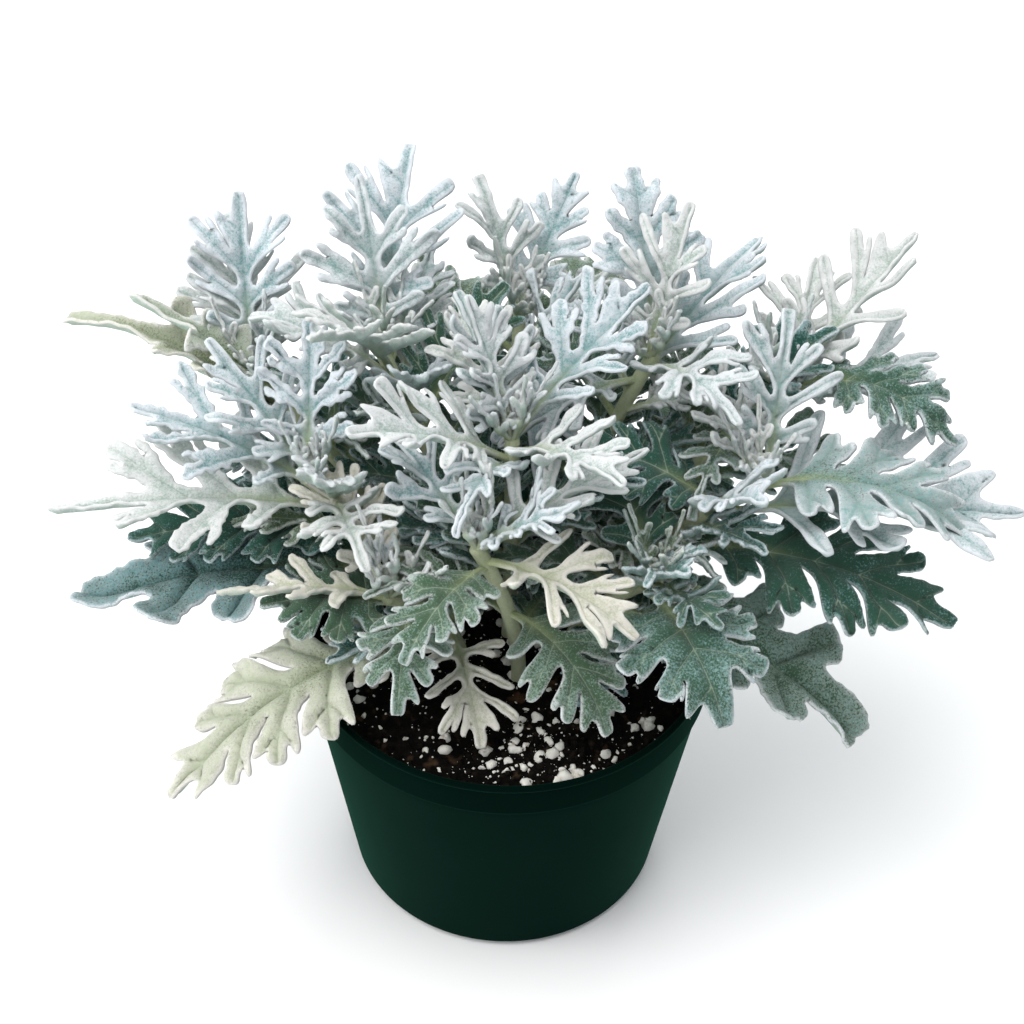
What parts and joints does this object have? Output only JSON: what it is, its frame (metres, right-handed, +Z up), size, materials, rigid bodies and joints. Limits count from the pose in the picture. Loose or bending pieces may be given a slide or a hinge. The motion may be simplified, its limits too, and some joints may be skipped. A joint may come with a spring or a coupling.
{
  "type": "potted dusty miller",
  "caption": "Silver-leaved bedding plant with felted, deeply cut leaves on upright stems, growing in potting mix in a tapered dark green plastic pot with a banded rim.",
  "frame": {"origin": "centre of the pot's flat base, where the pot stands", "axes": "+Z up along the pot's axis; -Y towards the front of the plant, +X to its right"},
  "size_m": [0.3572, 0.2418, 0.2557],
  "materials": {
    "pot_plastic": "dark green moulded plastic with a satin sheen",
    "potting_mix": "moist black peat mix, matte and crumbly, with white perlite grains",
    "felted_leaf": "leaf covered in fine white felt, matte"
  },
  "bodies": {
    "root": {"pot": "pot_plastic", "potting_mix": "potting_mix", "leafy_stem_front_left": "felted_leaf", "leafy_stem_front": "felted_leaf", "leafy_stem_front_right": "felted_leaf", "leafy_stem_left": "felted_leaf", "leafy_stem_right": "felted_leaf", "leafy_stem_centre": "felted_leaf", "leafy_stem_back_left": "felted_leaf", "leafy_stem_back_right": "felted_leaf", "leafy_stem_far_left": "felted_leaf", "leafy_stem_far_right": "felted_leaf", "leafy_stem_back": "felted_leaf"}
  },
  "joints": []
}
